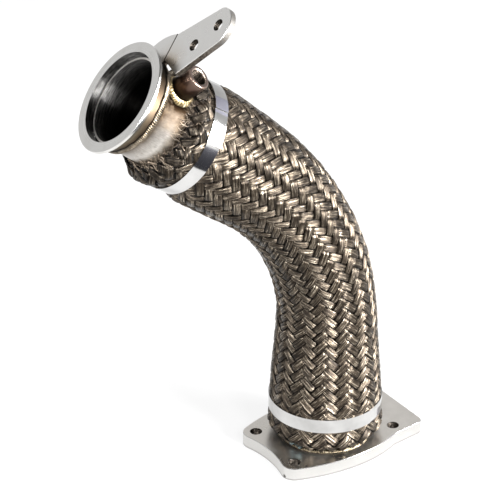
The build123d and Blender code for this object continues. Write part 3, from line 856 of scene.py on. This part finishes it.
def bung_material():
    s = Surface("bung_steel", Metallic=1.0, Roughness=0.3)
    height = s.dot(s.vector("SUBTRACT", s.place, tuple(BUNG_O)), tuple(BUNG_DIR))
    level = s.remap(s.add(height, s.wobble(110.0, 8 * MM)), PIPE_R, BUNG_TOP)
    tint = s.ramp(level, [
        (0.0, (0.055, 0.031, 0.019)), (0.2, (0.04, 0.022, 0.014)), (0.5, (0.095, 0.057, 0.04)),
        (0.78, (0.12, 0.078, 0.06)), (1.0, (0.17, 0.12, 0.095))])
    # Painted shade: the bore near-black, the thread's crests a little lighter
    bore_shade = s.ramp(s.number("inside"), [(0.3, (0.04, 0.031, 0.025)), (1.0, (0.006, 0.005, 0.004))])
    colour = s.mix(s.remap(s.number("inside"), 0.0, 0.3), tint, bore_shade)
    colour = s.mix(s.number("bright"), colour, (0.42, 0.37, 0.32))
    lathe = s.noise(s.combine(height, 0.0, 0.0), 4200.0, 2.0)
    return s.set(Base_Color=colour, Normal=s.bump(lathe, 0.02 * MM, 0.5))


def hole_material():
    s = Surface("tapped_hole_shade", Metallic=1.0, Roughness=0.4)
    stain = s.noise(s.place, 600.0)
    # Near-black, mottled: painted shade inside the tapped holes
    return s.set(Base_Color=s.ramp(stain, [(0.35, (0.012, 0.010, 0.008)), (0.7, (0.075, 0.065, 0.055))]))


def seam_material():
    s = Surface("seam_shade_fill", Metallic=0.0, Roughness=0.9, Specular_IOR_Level=0.05)
    stain = s.noise(s.place, 700.0)
    # Near-black and almost unreflecting: painted shade of the gap between the plates
    return s.set(Base_Color=s.ramp(stain, [(0.35, (0.008, 0.006, 0.005)), (0.7, (0.05, 0.04, 0.03))]))


def plate_material():
    """The bracket's plates: heat tint near the tack, and mottled cut edges that get lighter towards the round
    end.
    """
    s = Surface("plate_steel", Metallic=1.0)
    cloud = s.noise(s.place, 90.0, 4.0, 0.6)
    heat = s.remap(s.add(s.distance(tuple(ARM_HEAT)), s.times(cloud, 12 * MM)), 4 * MM, 30 * MM)
    tint = s.ramp(heat, [
        (0.0, (0.34, 0.25, 0.17)), (0.3, (0.60, 0.53, 0.45)), (0.55, (0.74, 0.71, 0.67)),
        (1.0, (0.80, 0.79, 0.77))])
    cut_edge = s.below(s.math("ABSOLUTE", s.dot(s.normal, tuple(FLOW))), 0.6)
    lighter_to_round_end = s.remap(s.crown_and_side()[0], 66 * MM, 92 * MM, -0.06, 0.22)
    mottle = s.ramp(s.add(s.noise(s.place, 620.0, 4.0, 0.75), lighter_to_round_end), [
        (0.40, (0.03, 0.025, 0.02)), (0.52, (0.10, 0.085, 0.07)), (0.66, (0.11, 0.104, 0.096)),
        (0.80, (0.13, 0.127, 0.122))])
    rough = s.add(s.remap(cloud, 0.3, 0.7, 0.24, 0.36), s.times(cut_edge, 0.34))
    return s.set(Base_Color=s.mix(cut_edge, tint, mottle), Roughness=rough,
                 Normal=s.bump(s.noise(s.place, 1100.0), 0.02 * MM, 0.4))


def outlet_material():
    """The outlet plate: ground top, cut sides with painted shade along their lower edge, a dark bore and a
    nick painted as a dark spot.
    """
    s = Surface("outlet_steel", Metallic=1.0)
    cloud = s.noise(s.place, 45.0, 5.0, 0.6)
    grain = s.noise(s.vector("MULTIPLY", s.place, (1.0, 0.12, 1.0)), 2200.0, 2.0)
    tint = s.ramp(cloud, [(0.3, (0.74, 0.705, 0.655)), (0.7, (0.86, 0.825, 0.775))])
    cut_side = s.below(s.math("ABSOLUTE", s.dot(s.normal, tuple(UP))), 0.85)
    tint = s.mix(cut_side, tint, (0.64, 0.63, 0.61))
    # Painted shade along the foot of the cut sides, where they meet the floor
    floor_contact_shade = s.remap(s.split(s.place)[2], 0.4 * MM, 2.6 * MM, 0.62, 0.0, smooth=True)
    tint = s.mix(s.times(cut_side, floor_contact_shade), tint, (0.20, 0.19, 0.18))
    colour = s.mix(s.below(s.from_foot_axis(), PIPE_R + 0.3 * MM), tint, (0.20, 0.18, 0.16))
    # Painted shade: a dark spot where the side has a nick
    nick = s.remap(s.distance(NICK), 0.8 * MM, 2.2 * MM, 0.9, 0.0, smooth=True)
    colour = s.mix(nick, colour, (0.05, 0.045, 0.04))
    rough = s.add(s.remap(cloud, 0.3, 0.7, 0.24, 0.36), s.times(cut_side, -0.1))
    return s.set(Base_Color=colour, Roughness=rough, Normal=s.bump(grain, 0.015 * MM, 0.4))


def band_material():
    s = Surface("band_steel", Metallic=1.0)
    cloud = s.noise(s.place, 28.0)
    tint = s.ramp(cloud, [(0.35, (0.48, 0.475, 0.465)), (0.65, (0.66, 0.655, 0.645))])
    rough = s.remap(cloud, 0.3, 0.7, 0.06, 0.11)
    fine = s.noise(s.place, 1800.0, 2.0)
    return s.set(Base_Color=tint, Roughness=rough, Normal=s.bump(fine, 0.01 * MM, 0.3))


# The pieces

braid_look = braid_material()
for hand, side_name in ((1, "right"), (-1, "left")):
    for half in (0, 1):
        tows = range(half * TOWS // 2, (half + 1) * TOWS // 2)
        points, faces, uv, numbers = braid(hand, list(tows))
        name = f"braid_{side_name}_hand_{half + 1}"
        mesh_piece(name, points, faces, braid_look, "basalt_braid", uv=uv,
                   replaces=["braided_sleeve"], **numbers)
points, faces = liner()
mesh_piece("sleeve_liner", points, faces, liner_material(), "basalt_braid", replaces=["braided_sleeve"])
points, faces, tone = fringe()
mesh_piece("sleeve_fringe", points, faces, fringe_material(), "basalt_braid", tone=tone)

silver_weld = weld_material("weld_bead", (0.06, 0.042, 0.028), (0.20, 0.165, 0.12), (0.42, 0.37, 0.30), 0.40)
gold_weld = weld_material("gold_weld", (0.07, 0.043, 0.02), (0.31, 0.24, 0.125), (0.56, 0.50, 0.38), 0.38)
foot_weld = weld_material("foot_weld", (0.035, 0.027, 0.018), (0.13, 0.105, 0.07), (0.34, 0.30, 0.22), 0.42)
tack_weld = weld_material("tack_weld", (0.03, 0.022, 0.016), (0.11, 0.095, 0.075), (0.30, 0.28, 0.25), 0.5)
points, faces, numbers = ring_bead(
    INLET, FLOW, CROWN, low=(OVER_PIPE, -19.4 * MM), high=(41.2 * MM, -12.4 * MM),
    bulge=1.9 * MM, spacing=1.7 * MM, lean=0.55, relief=0.55 * MM, seed=1.0)
mesh_piece("inlet_bead", points, faces, silver_weld, "weld_bead", replaces=["inlet_weld"], **numbers)
foot_leg = 3.4 * MM
points, faces, numbers = ring_bead(
    np.zeros(3), UP, EAST, low=(OVER_PIPE + foot_leg, PLATE_TOP), high=(OVER_PIPE, PLATE_TOP + foot_leg),
    bulge=0.5 * MM, spacing=1.7 * MM, lean=0.6, relief=0.3 * MM, seed=2.0)
mesh_piece("outlet_bead", points, faces, foot_weld, "weld_bead", replaces=["outlet_weld"], **numbers)
points, faces, numbers = bung_bead()
mesh_piece("bung_bead", points, faces, gold_weld, "gold_weld", replaces=["bung_weld"], **numbers)
points, faces, numbers = tack()
mesh_piece("bracket_tack", points, faces, tack_weld, "weld_bead", replaces=["bracket_weld"], **numbers)
points, faces, numbers = threaded_bung()
mesh_piece("threaded_bung", points, faces, bung_material(), "bung_steel", replaces=["sensor_bung"], **numbers)

hole_look = hole_material()
points, faces = joined([
    thread(np.array([x, y, 0.0]), UP, EAST, BOLT_HOLE_R, 0.2 * MM, 11.3 * MM, pitch=1.5 * MM, depth=0.6 * MM)
    for x, y in BOLT_PLACES])
mesh_piece("plate_threads", points, faces, hole_look, "outlet_steel")
arm_back = INLET - FLOW * (ARM_SETBACK + ARM_THICK)
points, faces = joined([
    thread(arm_back + CROWN * x + ACROSS * y, FLOW, CROWN, ARM_HOLE_R, 0.15 * MM, ARM_THICK - 0.35 * MM,
           pitch=1.25 * MM, depth=0.75 * MM)
    for x, y in ARM_HOLES])
mesh_piece("arm_threads", points, faces, hole_look, "plate_steel")
points, faces = seam_shade_fill()
mesh_piece("bracket_seam", points, faces, seam_material(), "weld_bead")

for look, nodes in (
    (pipe_material(), ["pipe"]),
    (flange_material(), ["inlet_flange"]),
    (outlet_material(), ["outlet_flange"]),
    (plate_material(), ["bracket_arm", "bracket_base"]),
    (band_material(), ["lower_band", "upper_band"]),
):
    for node in nodes:
        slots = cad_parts[node].data.materials
        slots.clear()
        slots.append(look)


# Studio: a pale glowing floor, a pale sky that darkens overhead, soft lights and two cards for reflections

EYE = Vector((-1.0553, -1.447, 1.1511))
LIGHTS_AIM = Vector((-0.05, 0.0, 0.2))
CAMERA_DOWN = 28.23  # degrees below level
CAMERA_HEADING = 56.0  # degrees round from the model's x axis
SENSOR_WIDTH, LENS = 36.0, 172.8  # millimetres
FLOOR_REACH = 8.0
# The sky's greys, each with its height from straight down to straight up
SKY_GREYS = [(0.0, 0.8), (0.45, 0.85), (0.80, 0.85), (0.88, 0.30), (0.94, 0.12), (1.0, 0.1)]
SKY_STRENGTH = 0.8


def area_light(name, place, size, power):
    """A soft light that shines at the part, with its size and power in metres and watts."""
    light = bpy.data.lights.new(name, "AREA")
    light.shape, light.size, light.size_y, light.energy = "RECTANGLE", size[0], size[1], power
    lamp = bpy.data.objects.new(name, light)
    lamp.location = place
    lamp.rotation_euler = (LIGHTS_AIM - Vector(place)).to_track_quat("-Z", "Y").to_euler()
    bpy.context.scene.collection.objects.link(lamp)


def flat_stage(name, corners, look):
    """One flat piece of the studio's stage."""
    mesh = bpy.data.meshes.new(name)
    mesh.from_pydata(corners, [], [(0, 1, 2, 3)])
    piece = bpy.data.objects.new(name, mesh)
    bpy.context.scene.collection.objects.link(piece)
    mesh.materials.append(look)
    return piece


def reflected_card(name, corners, grey):
    """A card that only polished steel sees, for the dark patches on the bands."""
    look = Surface(name, Base_Color=(grey, grey, grey * 1.2, 1), Roughness=0.9, Specular_IOR_Level=0.0)
    card = flat_stage(name, corners, look.material)
    card.visible_camera = card.visible_diffuse = card.visible_shadow = False


floor_look = Surface("pale_floor", Roughness=0.8, Metallic=0.0, Specular_IOR_Level=0.0)
floor_look.set(Emission_Color=(1, 1, 1), Emission_Strength=0.765, Base_Color=(0.16, 0.16, 0.16))
floor_corners = [(x * FLOOR_REACH, y * FLOOR_REACH, 0) for x, y in ((-1, -1), (1, -1), (1, 1), (-1, 1))]
floor = flat_stage("floor", floor_corners, floor_look.material)
floor.location.z = -0.2 * MM  # clear of the plate's underside

world = bpy.data.worlds.new("studio")
bpy.context.scene.world = world
world.use_nodes = True
sky_nodes, sky_links = world.node_tree.nodes, world.node_tree.links
sky_place = sky_nodes.new("ShaderNodeTexCoord")
sky_split = sky_nodes.new("ShaderNodeSeparateXYZ")
sky_height = sky_nodes.new("ShaderNodeMapRange")
sky_shade = sky_nodes.new("ShaderNodeValToRGB")
sky_height.inputs["From Min"].default_value = -1.0
set_ramp(sky_shade.color_ramp, [(height, (grey, grey, grey)) for height, grey in SKY_GREYS])
sky_links.new(sky_place.outputs["Generated"], sky_split.inputs[0])
sky_links.new(sky_split.outputs["Z"], sky_height.inputs["Value"])
sky_links.new(sky_height.outputs["Result"], sky_shade.inputs["Fac"])
sky_links.new(sky_shade.outputs["Color"], sky_nodes["Background"].inputs["Color"])
sky_nodes["Background"].inputs["Strength"].default_value = SKY_STRENGTH

area_light("key_right", (1.0, -1.7, 0.5), (0.5, 0.7), 190)
area_light("key_centre", (0.3, -2.05, 0.8), (0.35, 0.5), 80)
area_light("side_right", (1.35, -1.5, 1.2), (0.5, 0.7), 50)
area_light("top_front", (-0.45, -1.95, 1.5), (0.4, 0.6), 30)
area_light("front_left", (-1.9, -0.9, 1.7), (0.6, 0.8), 66)

floor_card = [(-0.5, -1.9, 0.01), (0.85, -1.9, 0.01), (0.22, -0.32, 0.01), (-0.28, -0.32, 0.01)]
side_card = [(1.7, 0.5, 0.7), (1.7, -0.62, 0.7), (1.65, -0.62, 1.7), (1.65, 0.5, 1.7)]
reflected_card("floor_card", floor_card, grey=0.012)
reflected_card("side_card", side_card, grey=0.22)

camera_data = bpy.data.cameras.new("camera")
camera = bpy.data.objects.new("camera", camera_data)
camera_data.sensor_width, camera_data.lens = SENSOR_WIDTH, LENS
camera.location = EYE
camera.rotation_euler = (radians(90 - CAMERA_DOWN), 0, radians(CAMERA_HEADING - 90))
bpy.context.scene.collection.objects.link(camera)
bpy.context.scene.camera = camera

view = bpy.context.scene.view_settings
view.view_transform, view.look, view.exposure, view.gamma = "Standard", "None", 0.0, 1.0
